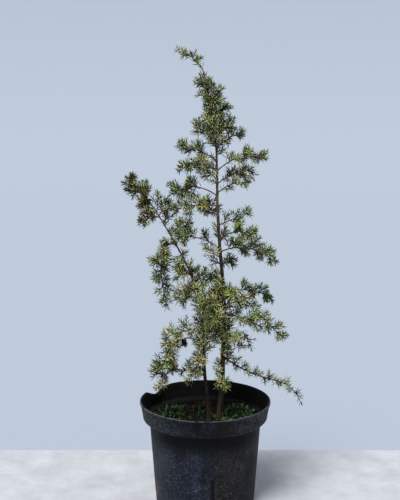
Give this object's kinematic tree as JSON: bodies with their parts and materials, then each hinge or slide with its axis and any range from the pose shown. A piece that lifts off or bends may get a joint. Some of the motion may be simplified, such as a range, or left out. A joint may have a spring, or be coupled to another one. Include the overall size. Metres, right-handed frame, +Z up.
{
  "type": "potted columnar common juniper",
  "caption": "Young upright juniper with thin leaning stems, arching boughs and open sprays of short sharp grey-green needles, growing in a round black nursery pot of mossy soil.",
  "frame": {"origin": "centre of the pot's flat underside", "axes": "+Z up, +X to the right as the plant is seen in the picture, +Y to the back"},
  "size_m": [0.2551, 0.189, 0.6541],
  "materials": {
    "pot": "black moulded plastic, dusty and finely scuffed, with a worn rim",
    "soil": "dark moist potting soil with bits of bark and moss",
    "bark": "thin flaking brown-grey bark",
    "needles": "stiff grey-green needles with a pale band",
    "dead": "dry brown needles on a dead twig"
  },
  "bodies": {
    "root": {"bough_back_3": "bark", "bough_left_3": "bark", "bough_left_5": "bark", "bough_right_13": "bark", "bough_right_2": "bark", "bough_right_6": "bark", "bough_right_7": "bark", "bough_right_8": "bark", "bough_second_back_1": "bark", "bough_second_left_5": "bark", "dead_twig": "dead", "foliage_back_1": "needles", "foliage_back_2": "needles", "foliage_back_3": "needles", "foliage_crown_back": "needles", "foliage_crown_left": "needles", "foliage_crown_right": "needles", "foliage_front_1": "needles", "foliage_front_3": "needles", "foliage_front_4": "needles", "foliage_leader": "needles", "foliage_left_1": "needles", "foliage_left_2": "needles", "foliage_left_3": "needles", "foliage_left_4": "needles", "foliage_left_5": "needles", "foliage_right_1": "needles", "foliage_right_10": "needles", "foliage_right_11": "needles", "foliage_right_12": "needles", "foliage_right_13": "needles", "foliage_right_14": "needles", "foliage_right_2": "needles", "foliage_right_3": "needles", "foliage_right_4": "needles", "foliage_right_5": "needles", "foliage_right_6": "needles", "foliage_right_7": "needles", "foliage_right_8": "needles", "foliage_right_9": "needles", "foliage_second_back_1": "needles", "foliage_second_back_2": "needles", "foliage_second_droop": "needles", "foliage_second_front_1": "needles", "foliage_second_front_2": "needles", "foliage_second_left_1": "needles", "foliage_second_left_2": "needles", "foliage_second_left_3": "needles", "foliage_second_left_4": "needles", "foliage_second_left_5": "needles", "foliage_second_left_6": "needles", "foliage_second_right_1": "needles", "foliage_second_right_2": "needles", "foliage_second_top": "needles", "foliage_top_left": "needles", "foliage_top_right": "needles", "pot": "pot", "soil": "soil", "stem_main": "bark", "stem_second": "bark"}
  },
  "joints": []
}
